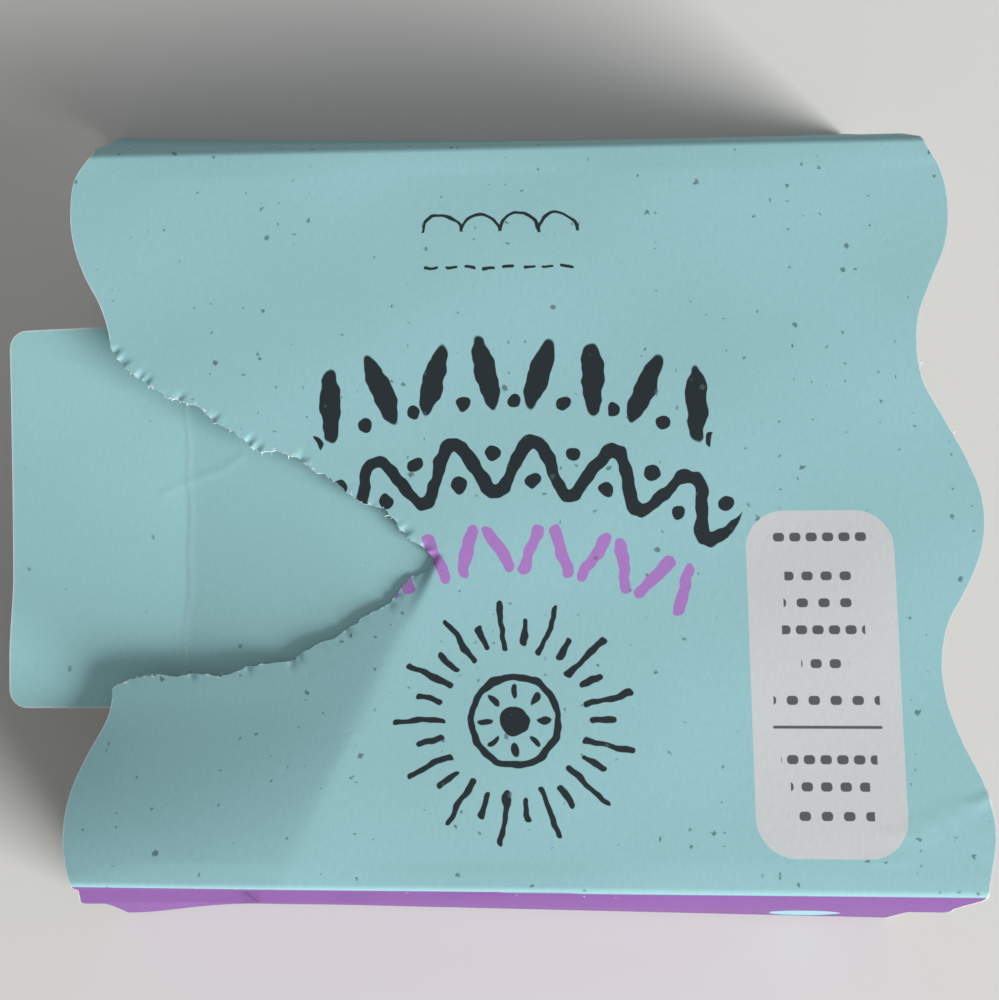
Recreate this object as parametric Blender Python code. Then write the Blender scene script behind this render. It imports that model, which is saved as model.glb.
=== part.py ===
"""An opened card sleeve for cakes, empty and lying as it was left.

The sleeve is one folded sheet of printed card: a top panel, a front wall, a
base and a back wall, joined into a tube that widens towards its base.  Both
ends are open.  The top panel's ends are cut as a wave, and a pointed tongue
has been torn out of it from the left end.  Under the tear lies a strip of the
same card, glued below the top panel, whose left end is a closing flap that
hangs on a crease and stands open.

X runs along the sleeve, Y from the front wall to the back wall, Z up.  The
origin is under the middle of the whole, on the table.  Metres throughout.
"""

from math import atan, cos, pi, sin

import bmesh
import bpy
import numpy as np

# ---------------------------------------------------------------------------
# Driving dimensions
# ---------------------------------------------------------------------------
BOARD = 0.0005              # thickness of the card
GAP = 0.0003                # air kept between two pieces that lie together

# The tube's section, as seen from an open end
TOP_MID_X = 0.00545         # middle of the top panel, from the origin
TOP_MID_Y = -0.0049
TOP_DEPTH = 0.1176          # front fold to back fold
FRONT_SLANT = 0.0165        # the front fold runs out to the front towards the right
TOP_HEIGHT = 0.0450         # middle of the top panel above the table
RISE_TO_RIGHT = 0.022       # the slumped top rises a little to the right
RISE_TO_FRONT = 0.021       # and to the front
FRONT_FLARE = 0.0076        # how far the base stands out past the front fold
FRONT_FLARE_SKEW = 0.016    # more of it towards the right end
SPLAY = 0.0023              # and at the left end, where the base spreads
SPLAY_PLACE = -0.070
SPLAY_WIDTH = 0.014
BACK_FLARE = 0.0181         # the same at the back
BACK_FLARE_SKEW = -0.0057
BACK_SPREAD = 0.21          # the base spreads towards both of its ends there, in 1/metre
FOLD_RADIUS = 0.0016        # outside radius of the four folds

# The wavy ends of the top panel as (place from back to front, distance from
# the middle of the panel)
RIGHT_WAVE = (
    (0.0588, 0.0662), (0.0535, 0.0689), (0.0475, 0.0698), (0.0410, 0.0690),
    (0.0345, 0.0662), (0.0290, 0.0641), (0.0240, 0.0636), (0.0185, 0.0643),
    (0.0125, 0.0672), (0.0060, 0.0703), (0.0005, 0.0721), (-0.0035, 0.0724),
    (-0.0085, 0.0715), (-0.0140, 0.0690), (-0.0190, 0.0661), (-0.0255, 0.0647),
    (-0.0310, 0.0651), (-0.0370, 0.0670), (-0.0435, 0.0699), (-0.0500, 0.0712),
    (-0.0588, 0.0697),
)
LEFT_WAVE = (
    (0.0588, 0.0682), (0.0550, 0.0707), (0.0500, 0.0714), (0.0440, 0.0708),
    (0.0385, 0.0689), (0.0330, 0.0660), (0.0275, 0.0643), (0.0240, 0.0641),
    (-0.0270, 0.0636), (-0.0315, 0.0641), (-0.0380, 0.0671), (-0.0430, 0.0690),
    (-0.0485, 0.0697), (-0.0540, 0.0690), (-0.0588, 0.0674),
)
# The straight ends of the walls as (left, right), under the fold and at the base
FRONT_WALL_ENDS = ((-0.0676, 0.0657), (-0.0694, 0.0651))
BACK_WALL_ENDS = ((-0.0684, 0.0650), (-0.0748, 0.0643))
END_TURN = 0.09             # the wave becomes straight within this share of the height
END_MEAN = 0.0675           # a wavy end's mean distance from the middle

# The torn edge, from the middle of the top panel, from back to front
TEAR = (
    (-0.0637, 0.0254), (-0.0579, 0.0202), (-0.0521, 0.0171), (-0.0443, 0.0125),
    (-0.0395, 0.0093), (-0.0343, 0.0081), (-0.0296, 0.0052), (-0.0237, 0.0005),
    (-0.0197, -0.0008), (-0.0162, -0.0055), (-0.0134, -0.0072), (-0.0125, -0.0088),
    (-0.0134, -0.0101), (-0.0162, -0.0112), (-0.0189, -0.0147), (-0.0240, -0.0180),
    (-0.0286, -0.0207), (-0.0335, -0.0230), (-0.0386, -0.0243), (-0.0459, -0.0255),
    (-0.0560, -0.0260), (-0.0637, -0.0272),
)
TEAR_TIP = TEAR[11]

# The wing: the corner between the tear and the front fold, bent down
WING_DROP = 0.0070          # at a distance of WING_REACH from the bend line
WING_REACH = 0.050
WING_CURVE = 1.5            # exponent of the droop
WING_LINE_SLOPE = 0.48      # the bend line leaves the tip of the tear
WING_HOLD = 0.030           # the front fold holds the wing up to here
WING_AT_FOLD = 0.25         # share of the droop left at the fold

# The walls bow outwards, most of all close to the fold
FRONT_BOW = 0.0016
BACK_BOW = 0.0005
BOW_CURVE = 4.0

# The strip under the top panel and its flap
STRIP_HALF = 0.0309         # half the width of the strip and the flap
STRIP_MID_Y = 0.0001        # its middle line, from the middle of the panel
STRIP_RIGHT = 0.0250        # hidden end of the strip
SAG_START = -0.0050         # from here the strip sags away from the panel
CREASE_X = -0.0525          # the crease between strip and flap
CREASE_SAG = 0.0060         # the sag at the crease
SAG_CURVE = 1.1             # exponent of the sag
SAG_TO_FRONT = 0.080        # the sag grows towards the front by this slope
FLAP_LENGTH = 0.0301        # crease to the free end
FLAP_FALL = 0.128           # slope of the flap down to its free end
FLAP_SKEW = 0.023           # its free end is not quite square to the sides
FLAP_ASKEW = 0.012          # and the sides run a little to the back
FLAP_CORNER = 0.0030        # radius of its two corners
CREASE_GAP = 0.00015        # half the gap that the crease leaves

# How finely the solids are divided
COLUMNS = 15                # along the sleeve
TOP_ROWS = 72               # across the top panel
WALL_ROWS = 6
BASE_ROWS = 4
FOLD_ROWS = 3
STRIP_COLUMNS = 16
STRIP_ROWS = 8
CORNER_STEPS = 5


# ---------------------------------------------------------------------------
# The shape of the folded card
# ---------------------------------------------------------------------------
def top_plane(x, y):
    """Height of the top panel's outer face before any bend, in the panel's frame."""
    return TOP_HEIGHT + RISE_TO_RIGHT * x - RISE_TO_FRONT * y


def smoothstep(t):
    """Ease from 0 to 1 with level ends."""
    t = np.clip(t, 0.0, 1.0)
    return t * t * (3.0 - 2.0 * t)


def wing_droop(x, y):
    """How far the torn corner hangs below the top plane."""
    line_x = TEAR_TIP[0] + WING_LINE_SLOPE * (y - TEAR_TIP[1])
    reach = np.clip(line_x - x, 0.0, None) / WING_REACH
    held = WING_AT_FOLD + (1.0 - WING_AT_FOLD) * smoothstep((y + TOP_DEPTH / 2) / WING_HOLD)
    return np.where(y < TEAR_TIP[1], WING_DROP * reach ** WING_CURVE * held, 0.0)


def wave(y, profile):
    """Distance of a wavy end from the middle: a smooth curve through the profile's points."""
    places, reaches = np.array(profile[::-1]).T
    slopes = np.gradient(reaches, places)
    step = np.clip(np.searchsorted(places, y) - 1, 0, len(places) - 2)
    width = places[step + 1] - places[step]
    share = (y - places[step]) / width
    ease = smoothstep(share)
    leave = share * (1.0 - share) ** 2 * width * slopes[step]
    arrive = share ** 2 * (1.0 - share) * width * slopes[step + 1]
    return reaches[step] * (1.0 - ease) + reaches[step + 1] * ease + leave - arrive


def section_corners(x):
    """The four outer corners (y, z) of the tube at x: top back, top front, base front, base back."""
    half = TOP_DEPTH / 2 + 0.0 * x
    ground = 0.0 * x
    front = -half - FRONT_SLANT * x
    splay = SPLAY * np.exp(-(((x - SPLAY_PLACE) / SPLAY_WIDTH) ** 2))
    base_front = front - FRONT_FLARE - FRONT_FLARE_SKEW * x - splay
    base_back = half + BACK_FLARE + BACK_FLARE_SKEW * x + BACK_SPREAD * x ** 2
    corners = (
        (half, top_plane(x, half)),
        (front, top_plane(x, front)),
        (base_front, ground),
        (base_back, ground),
    )
    return np.stack([np.stack(corner, -1) for corner in corners], -2)


def inset_corners(corners, inset):
    """Move each side of the four-sided section inwards by the inset."""
    along = np.roll(corners, -1, axis=-2) - corners
    along /= np.linalg.norm(along, axis=-1, keepdims=True)
    inward = np.stack([-along[..., 1], along[..., 0]], -1)
    before = np.roll(inward, 1, axis=-2)
    lean = 1.0 + (inward * before).sum(-1, keepdims=True)
    return corners + inset * (inward + before) / lean


def stations():
    """Walk once round the section: (corner, is_fold, how far) for each row of the mesh."""
    rows = (TOP_ROWS, WALL_ROWS, BASE_ROWS, WALL_ROWS)
    walk = []
    for corner, count in enumerate(rows):
        walk += [(corner, True, step / FOLD_ROWS) for step in range(FOLD_ROWS)]
        walk += [(corner, False, step / count) for step in range(count)]
    side, is_fold, share = zip(*walk)
    return np.array(side), np.array(is_fold), np.array(share)


def section_points(x, inset, radius):
    """Points (y, z) of every station at its own x; x has one row for each station."""
    side, is_fold, share = (column[:, None] for column in stations())
    corners = inset_corners(section_corners(x), inset)
    take = np.arange(len(side))[:, None], np.arange(x.shape[1])[None, :]
    here = corners[take + (side,)]
    ahead = corners[take + ((side + 1) % 4,)]
    behind = corners[take + ((side - 1) % 4,)]
    to_ahead = (ahead - here) / np.linalg.norm(ahead - here, axis=-1, keepdims=True)
    to_behind = (behind - here) / np.linalg.norm(behind - here, axis=-1, keepdims=True)
    start, end = here + radius * to_ahead, ahead - radius * to_ahead
    straight = start + share[..., None] * (end - start)
    t = share[..., None]
    before = here + radius * to_behind
    fold = before * (1 - t) ** 2 + here * 2 * t * (1 - t) + start * t ** 2
    return np.where(is_fold[..., None], fold, straight)


def station_places(x):
    """Y and z of every station, each at its own x."""
    return np.moveaxis(section_points(x[:, None], 0.0, FOLD_RADIUS)[:, 0], -1, 0)


def end_positions():
    """X of the left and the right end at every station."""
    half = TOP_DEPTH / 2
    ends = []
    for side, profile, sign in ((0, LEFT_WAVE, -1), (1, RIGHT_WAVE, 1)):
        mean = sign * np.full(len(stations()[0]), END_MEAN)
        y, z = station_places(mean)
        near = np.clip(y, -half - FRONT_SLANT * mean, half)
        down = np.clip(1.0 - z / top_plane(mean, near), 0.0, 1.0)
        front, back = (
            lines[0][side] + (lines[1][side] - lines[0][side]) * down
            for lines in (FRONT_WALL_ENDS, BACK_WALL_ENDS)
        )
        straight = front + (back - front) * np.clip((y + half) / TOP_DEPTH, 0.0, 1.0)
        wavy = sign * wave(near, profile)
        ends.append(wavy + (straight - wavy) * smoothstep(down / END_TURN))
    left, right = ends
    tear_x, tear_y = np.array(TEAR[::-1]).T
    torn_x = np.interp(station_places(left)[0], tear_y, tear_x)
    y, z = station_places(torn_x)
    torn = (z > TOP_HEIGHT / 2) & (y > tear_y[0]) & (y < tear_y[-1])
    return np.where(torn, np.interp(y, tear_y, tear_x), left), right


def bend(x, y, z):
    """Lay the droop of the wing and the bow of the walls over the plain tube."""
    share_up = np.clip(z / top_plane(x, y), 0.0, 1.0)
    on_wall = np.abs(y) > TOP_DEPTH / 2
    drooped = z - wing_droop(x, np.maximum(y, -TOP_DEPTH / 2)) * share_up
    bow = np.where(y > 0, BACK_BOW, -FRONT_BOW) * np.sin(pi * share_up ** BOW_CURVE)
    return x, np.where(on_wall, y + bow, y), drooped


# ---------------------------------------------------------------------------
# Meshes and materials
# ---------------------------------------------------------------------------
def card_material(name, colour, roughness):
    """A printed card with one plain colour."""
    material = bpy.data.materials.new(name)
    material.use_nodes = True
    shader = material.node_tree.nodes["Principled BSDF"]
    shader.inputs["Base Color"].default_value = (*colour, 1.0)
    shader.inputs["Roughness"].default_value = roughness
    shader.inputs["Metallic"].default_value = 0.0
    return material


def solid_between(name, outer, inner, closed, material):
    """One closed body between two grids of points with the same rows and columns.

    The grids are joined along their column ends, and along their row ends too
    unless the rows run round a tube and meet.
    """
    rows, columns = outer.shape[:2]
    mesh = bmesh.new()
    layers = [
        [[mesh.verts.new(point) for point in row] for row in grid] for grid in (outer, inner)
    ]
    pairs = [(row, (row + 1) % rows) for row in range(rows if closed else rows - 1)]
    for layer, grid in enumerate(layers):
        for row, after in pairs:
            for column in range(columns - 1):
                face = [
                    grid[row][column], grid[row][column + 1],
                    grid[after][column + 1], grid[after][column],
                ]
                mesh.faces.new(face if layer == 0 else face[::-1])
    for column in (0, columns - 1):
        for row, after in pairs:
            mesh.faces.new([
                layers[0][row][column], layers[0][after][column],
                layers[1][after][column], layers[1][row][column],
            ])
    if not closed:
        for row in (0, rows - 1):
            for column in range(columns - 1):
                mesh.faces.new([
                    layers[0][row][column], layers[0][row][column + 1],
                    layers[1][row][column + 1], layers[1][row][column],
                ])
    bmesh.ops.recalc_face_normals(mesh, faces=mesh.faces)
    data = bpy.data.meshes.new(name)
    mesh.to_mesh(data)
    mesh.free()
    data.materials.append(material)
    solid = bpy.data.objects.new(name, data)
    bpy.context.scene.collection.objects.link(solid)
    return solid


def make_sleeve(material):
    """The folded tube: an outer and an inner skin, a board apart."""
    left, right = end_positions()
    share = np.linspace(0.0, 1.0, COLUMNS)[None, :]
    x = left[:, None] + (right - left)[:, None] * share
    skins = []
    for inset in (0.0, BOARD):
        section = section_points(x, inset, FOLD_RADIUS - inset)
        skins.append(np.stack(bend(x, section[..., 0], section[..., 1]), -1))
    sleeve = solid_between("sleeve", skins[0], skins[1], True, material)
    sleeve.location = (TOP_MID_X, TOP_MID_Y, 0.0)
    return sleeve


def strip_height(x, y):
    """Height of the strip's upper face: under the panel, then sagging to the crease."""
    reach = np.clip((SAG_START - x) / (SAG_START - CREASE_X), 0.0, None)
    sag = CREASE_SAG * reach ** SAG_CURVE - SAG_TO_FRONT * y * np.minimum(reach, 1.0)
    return top_plane(x, y) - BOARD - GAP - np.maximum(sag, 0.0)


def make_strip(material):
    """The part of the strip that is glued under the top panel and stays."""
    x = np.linspace(CREASE_X + CREASE_GAP, STRIP_RIGHT, STRIP_COLUMNS)
    y = STRIP_MID_Y + np.linspace(-STRIP_HALF, STRIP_HALF, STRIP_ROWS)
    x, y = np.meshgrid(x, y)
    upper = np.stack([x, y, strip_height(x, y)], -1)
    lower = upper - np.array([0.0, 0.0, BOARD])
    strip = solid_between("inner_strip", upper, lower, False, material)
    strip.location = (TOP_MID_X, TOP_MID_Y, 0.0)
    return strip


def crease_slope():
    """Slope of the crease along Y."""
    y = np.array([-0.001, 0.001])
    low, high = strip_height(CREASE_X + 0.0 * y, STRIP_MID_Y + y)
    return (high - low) / 0.002


def crease_point():
    """Middle of the crease at the underside of the card, in the panel's frame."""
    height = strip_height(np.array(CREASE_X), np.array(STRIP_MID_Y))
    return np.array([CREASE_X, STRIP_MID_Y, float(height) - BOARD])


def make_flap(material):
    """The closing flap, with its origin on the crease's axis."""
    turn = np.linspace(0.0, pi / 2, CORNER_STEPS)
    corner_y = STRIP_HALF - FLAP_CORNER * (1.0 - np.cos(turn))
    corner_x = FLAP_LENGTH - FLAP_CORNER * (1.0 - np.sin(turn))
    across = np.concatenate([corner_y, -corner_y[::-1]])
    reach = np.concatenate([corner_x, corner_x[::-1]]) + FLAP_SKEW * across
    share = np.linspace(0.0, 1.0, STRIP_COLUMNS // 2)[None, :]
    x = -(CREASE_GAP + (reach[:, None] - CREASE_GAP) * share)
    y = across[:, None] - FLAP_ASKEW * x
    z = BOARD + FLAP_FALL * x + crease_slope() * y
    upper = np.stack([x, y, z], -1)
    lower = upper - np.array([0.0, 0.0, BOARD])
    flap = solid_between("end_flap", upper, lower, False, material)
    flap.location = crease_point() + np.array([TOP_MID_X, TOP_MID_Y, 0.0])
    return flap


def main():
    """Clear the scene and make the three pieces."""
    for old in list(bpy.data.objects):
        bpy.data.objects.remove(old, do_unlink=True)
    teal = card_material("printed_teal_card", (0.29, 0.53, 0.57), 0.55)
    pale = card_material("pale_teal_card", (0.34, 0.58, 0.61), 0.55)
    make_sleeve(teal)
    make_strip(pale)
    flap = make_flap(pale)
    slope = atan(crease_slope())
    print("hinge at", [round(v, 5) for v in flap.location], "axis", (0.0, round(cos(slope), 5), round(sin(slope), 5)))


main()
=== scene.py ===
# %% [markdown]
# # A torn card cake sleeve
#
# The object is one sheet of printed card.  It was cut flat, creased, folded
# into a tube and glued, and later somebody tore a pointed tongue out of its
# top to reach the cakes.  What is left is a thin shell with four folds, two
# wavy ends and one ragged edge, and under the tear a second strip of the same
# card with a flap on a crease.  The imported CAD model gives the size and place
# of each piece; the cells below make the same pieces again as they look.

# %% Load the fixed frame
from math import pi, radians

import bpy
import numpy as np
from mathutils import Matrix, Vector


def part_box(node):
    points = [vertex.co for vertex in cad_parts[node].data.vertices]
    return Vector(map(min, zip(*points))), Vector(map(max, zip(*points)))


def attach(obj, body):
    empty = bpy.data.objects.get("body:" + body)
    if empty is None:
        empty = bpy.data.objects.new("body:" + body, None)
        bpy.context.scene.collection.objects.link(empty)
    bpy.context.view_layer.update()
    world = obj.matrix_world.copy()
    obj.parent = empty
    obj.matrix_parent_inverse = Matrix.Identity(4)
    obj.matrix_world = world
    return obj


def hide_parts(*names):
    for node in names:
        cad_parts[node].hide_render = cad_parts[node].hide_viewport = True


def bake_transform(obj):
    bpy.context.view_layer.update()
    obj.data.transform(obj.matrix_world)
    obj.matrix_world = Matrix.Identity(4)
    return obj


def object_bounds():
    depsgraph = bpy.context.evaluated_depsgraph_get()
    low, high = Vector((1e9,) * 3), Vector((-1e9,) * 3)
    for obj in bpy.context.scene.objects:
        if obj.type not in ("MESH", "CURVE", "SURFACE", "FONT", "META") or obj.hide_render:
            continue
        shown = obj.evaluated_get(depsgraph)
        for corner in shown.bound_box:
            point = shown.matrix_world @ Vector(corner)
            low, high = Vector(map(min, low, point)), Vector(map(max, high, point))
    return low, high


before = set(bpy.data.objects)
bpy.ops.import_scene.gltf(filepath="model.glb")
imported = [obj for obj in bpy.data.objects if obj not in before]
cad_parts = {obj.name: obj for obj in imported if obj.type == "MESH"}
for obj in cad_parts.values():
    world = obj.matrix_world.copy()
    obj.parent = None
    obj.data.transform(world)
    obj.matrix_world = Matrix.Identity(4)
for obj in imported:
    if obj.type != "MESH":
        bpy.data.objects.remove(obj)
cad_low, cad_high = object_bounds()
strip_low, strip_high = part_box("inner_strip")
STRIP_RIGHT = 0.0250
STRIP_MID_Y = 0.0001
strip_middle_y = (strip_low.y + strip_high.y) / 2
MIDDLE = np.array([strip_high.x - STRIP_RIGHT, strip_middle_y - STRIP_MID_Y, cad_low.z])
print("middle of the top panel in mm:", (1000 * MIDDLE).round(2))
print("frame box in mm:", [round(1000 * v, 1) for v in cad_high - cad_low])

# %% [markdown]
# ## Camera, floor and light
#
# A pack lying on a table is looked at from straight above, so the camera
# hangs over it with only a few degrees of tilt.  The floor is a plain pale
# sheet a hair below the object, so that the two never share a plane.  One
# large soft lamp stands low and far off at the front right, as a window would,
# because card shows its bends only when the light comes in at a slant, and a
# near lamp would light the floor unevenly.  The world's even light fills what
# the lamp leaves.

# %% Camera
CAMERA_FROM_MIDDLE = (-0.0006, -0.0344, 0.2819)
CAMERA_TURN = (radians(8.410), radians(0.493), radians(-0.577))
camera_data = bpy.data.cameras.new("camera")
camera_data.sensor_fit = "HORIZONTAL"
camera_data.sensor_width = 36.0
camera_data.lens = 55.5
camera = bpy.data.objects.new("camera", camera_data)
camera.location = tuple(MIDDLE + CAMERA_FROM_MIDDLE)
camera.rotation_euler = CAMERA_TURN
bpy.context.scene.collection.objects.link(camera)
bpy.context.scene.camera = camera
bpy.context.scene.view_settings.view_transform = "Standard"
print("camera is", round(camera.location.z - cad_high.z, 3), "m above the top")

# %% Light
LAMP_FROM = np.array([0.78, -0.55, 0.38])
LAMP_DISTANCE = 4.0
LAMP_SIZE = 2.3
LAMP_POWER = 356.0
SKY = 0.31
lamp_data = bpy.data.lights.new("window", "AREA")
lamp_data.shape = "SQUARE"
lamp_data.size = LAMP_SIZE
lamp_data.energy = LAMP_POWER
lamp = bpy.data.objects.new("window", lamp_data)
lamp_way = LAMP_FROM / np.linalg.norm(LAMP_FROM)
lamp.location = tuple(LAMP_DISTANCE * lamp_way)
lamp.rotation_mode = "QUATERNION"
lamp.rotation_quaternion = lamp.location.to_track_quat("Z", "Y")
bpy.context.scene.collection.objects.link(lamp)
world = bpy.data.worlds.new("room")
world.use_nodes = True
world.node_tree.nodes["Background"].inputs["Color"].default_value = (0.97, 0.98, 1.0, 1.0)
world.node_tree.nodes["Background"].inputs["Strength"].default_value = SKY
bpy.context.scene.world = world
print("lamp stands", round(float(np.degrees(np.arcsin(lamp_way[2])))), "degrees up")

# %% [markdown]
# ## Mixing finishes
#
# A finish is a net of nodes, which is easiest to read as sums.  `Value` wraps
# one output of a node, and plain operators on values add the Math nodes.
# `Finish.node` adds any other node: its settings come first, since they can
# change which sockets it has, and then the values or links of its sockets.


# %% Values and finishes
class Value:
    """One output of a node, which can be added, multiplied and compared."""

    def __init__(self, finish, socket):
        self.finish, self.socket = finish, socket

    def other(self, number):
        """Another output of the same node."""
        return Value(self.finish, self.socket.node.outputs[number])

    def math(self, operation, *others):
        """The Math node's operation on this value and the others."""
        return self.finish.node("ShaderNodeMath", dict(enumerate((self, *others))), operation=operation)

    def __add__(self, other):
        return self.math("ADD", other)

    def __sub__(self, other):
        return self.math("SUBTRACT", other)

    def __rsub__(self, other):
        return self.finish.node("ShaderNodeMath", {0: other, 1: self}, operation="SUBTRACT")

    def __mul__(self, other):
        return self.math("MULTIPLY", other)

    def __truediv__(self, other):
        return self.math("DIVIDE", other)

    def __neg__(self):
        return self.math("MULTIPLY", -1.0)

    def __abs__(self):
        return self.math("ABSOLUTE")

    __radd__, __rmul__ = __add__, __mul__


class Finish:
    """A material that is being mixed."""

    def __init__(self, name):
        self.material = bpy.data.materials.new(name)
        self.material.use_nodes = True
        self.tree = self.material.node_tree
        self.shader = self.tree.nodes["Principled BSDF"]

    def node(self, kind, sockets=None, output=0, **settings):
        """Add a node: its settings, then its sockets' values or links.  Returns one output."""
        made = self.tree.nodes.new(kind)
        for name, value in settings.items():
            setattr(made, name, value)
        for name, value in (sockets or {}).items():
            if isinstance(value, Value):
                self.tree.links.new(value.socket, made.inputs[name])
            else:
                made.inputs[name].default_value = value
        return Value(self, made.outputs[output])

    def feed(self, name, value):
        """Set or link one socket of the shader."""
        if isinstance(value, Value):
            self.tree.links.new(value.socket, self.shader.inputs[name])
        else:
            self.shader.inputs[name].default_value = value

    def mix(self, share, first, second):
        """Colour that goes from the first to the second as the share goes from 0 to 1."""
        return self.node("ShaderNodeMix", {0: share, 6: first, 7: second}, output=2, data_type="RGBA")

    def ramp(self, value, low, high, at_low=0.0, at_high=1.0):
        """Ease from one number to another as the value goes from low to high."""
        sockets = {0: value, 1: low, 2: high, 3: at_low, 4: at_high}
        return self.node("ShaderNodeMapRange", sockets, interpolation_type="SMOOTHSTEP")

    def noise(self, place, scale, detail=2.0, roughness=0.5, output=0):
        """Cloudy noise around 0.5; scale is how many clouds fit in one unit of the place."""
        sockets = {"Vector": place, "Scale": scale, "Detail": detail, "Roughness": roughness}
        return self.node("ShaderNodeTexNoise", sockets, output=output)

    def move(self, operation, *vectors):
        """The Vector Math node's operation on vectors."""
        return self.node("ShaderNodeVectorMath", dict(enumerate(vectors)), operation=operation)


def paint(red, green, blue):
    """The colour that a screen shows for these three numbers, as light."""
    shown = np.array([red, green, blue]) / 255.0
    light = np.where(shown <= 0.04045, shown / 12.92, ((shown + 0.055) / 1.055) ** 2.4)
    return (*light.tolist(), 1.0)


print("white paint is", paint(255, 255, 255))

# %% [markdown]
# ## The folded shape
#
# The sleeve is a tube with four sides.  Its top is a slightly sloping plane,
# its walls lean outwards to a wider base, and each corner is a fold of small
# radius.  A section at one place along the sleeve is a four-sided figure with
# rounded corners, so the whole is a function of two parameters: how far round
# the section, and how far along.  The lengths repeat the CAD model's own,
# apart from two that were made to look more like real card: the upper folds
# are tighter here, and the strip below starts to sag a little later.

# %% Lengths of the folded card
BOARD = 0.0005
GAP = 0.0003
TOP_DEPTH = 0.1176
FRONT_SLANT = 0.0165
TOP_HEIGHT = 0.0450
RISE_TO_RIGHT = 0.022
RISE_TO_FRONT = 0.021
FRONT_FLARE, FRONT_FLARE_SKEW = 0.0076, 0.016
SPLAY, SPLAY_PLACE, SPLAY_WIDTH = 0.0023, -0.070, 0.014
BACK_FLARE, BACK_FLARE_SKEW, BACK_SPREAD = 0.0181, -0.0057, 0.21
FOLD_RADII = (0.0010, 0.0010, 0.0016, 0.0016)
RIGHT_WAVE = (
    (0.0588, 0.0662), (0.0535, 0.0689), (0.0475, 0.0698), (0.0410, 0.0690),
    (0.0345, 0.0662), (0.0290, 0.0641), (0.0240, 0.0636), (0.0185, 0.0643),
    (0.0125, 0.0672), (0.0060, 0.0703), (0.0005, 0.0721), (-0.0035, 0.0724),
    (-0.0085, 0.0715), (-0.0140, 0.0690), (-0.0190, 0.0661), (-0.0255, 0.0647),
    (-0.0310, 0.0651), (-0.0370, 0.0670), (-0.0435, 0.0699), (-0.0500, 0.0712),
    (-0.0588, 0.0697),
)
LEFT_WAVE = (
    (0.0588, 0.0682), (0.0550, 0.0707), (0.0500, 0.0714), (0.0440, 0.0708),
    (0.0385, 0.0689), (0.0330, 0.0660), (0.0275, 0.0643), (0.0240, 0.0641),
    (-0.0270, 0.0636), (-0.0315, 0.0641), (-0.0380, 0.0671), (-0.0430, 0.0690),
    (-0.0485, 0.0697), (-0.0540, 0.0690), (-0.0588, 0.0674),
)
FRONT_WALL_ENDS = ((-0.0676, 0.0657), (-0.0694, 0.0651))
BACK_WALL_ENDS = ((-0.0684, 0.0650), (-0.0748, 0.0643))
END_TURN = 0.09
END_MEAN = 0.0675
STRIP_HALF = 0.0309
SAG_START = -0.0100
CREASE_X = -0.0525
CREASE_SAG = 0.0060
SAG_CURVE = 1.3
SAG_TO_FRONT = 0.080
FLAP_LENGTH, FLAP_SKEW, FLAP_ASKEW = 0.0301, 0.023, 0.012
FLAP_FALL = 0.128
FLAP_CORNER = 0.0030
print("the base is wider than the top by", round(1000 * (FRONT_FLARE + BACK_FLARE), 1), "mm")


# %% The section of the tube
def smoothstep(t):
    """Ease from 0 to 1 with level ends: three t squared less two t cubed."""
    t = np.clip(t, 0.0, 1.0)
    return t * t * (3.0 - 2.0 * t)


def top_plane(x, y):
    """Height of the top's outer face: a plane that rises to the right and to the front."""
    return TOP_HEIGHT + RISE_TO_RIGHT * x - RISE_TO_FRONT * y


def section_corners(x):
    """The four corners (y, z) of the section at x: top back, top front, base front, base back."""
    half = TOP_DEPTH / 2 + 0.0 * x
    ground = 0.0 * x
    front = -half - FRONT_SLANT * x
    splay = SPLAY * np.exp(-(((x - SPLAY_PLACE) / SPLAY_WIDTH) ** 2))
    base_front = front - FRONT_FLARE - FRONT_FLARE_SKEW * x - splay
    base_back = half + BACK_FLARE + BACK_FLARE_SKEW * x + BACK_SPREAD * x ** 2
    corners = (
        (half, top_plane(x, half)), (front, top_plane(x, front)),
        (base_front, ground), (base_back, ground),
    )
    return np.stack([np.stack(corner, -1) for corner in corners], -2)


def wave(y, profile):
    """Distance of a wavy end from the middle: a smooth curve through the profile's points."""
    places, reaches = np.array(profile[::-1]).T
    slopes = np.gradient(reaches, places)
    step = np.clip(np.searchsorted(places, y) - 1, 0, len(places) - 2)
    width = places[step + 1] - places[step]
    share = (y - places[step]) / width
    leave = share * (1.0 - share) ** 2 * width * slopes[step]
    arrive = share ** 2 * (1.0 - share) * width * slopes[step + 1]
    ease = smoothstep(share)
    return reaches[step] * (1.0 - ease) + reaches[step + 1] * ease + leave - arrive


print("right end at the front crest:", wave(-0.05, RIGHT_WAVE).round(4), "m from the middle")

# %% [markdown]
# ## The torn edge
#
# The pack has a line of small cuts for a tear strip, and the card tore from
# cut to cut.  Each bridge between two cuts leaves a tooth and a small dent
# where the finger pulled it down.  The edge is a line of points to which a
# row of teeth is added, squarely to the line.  On the upper side a tooth
# starts steeply and on the lower side it ends steeply, so that every row of
# the mesh still meets the edge once.

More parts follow.
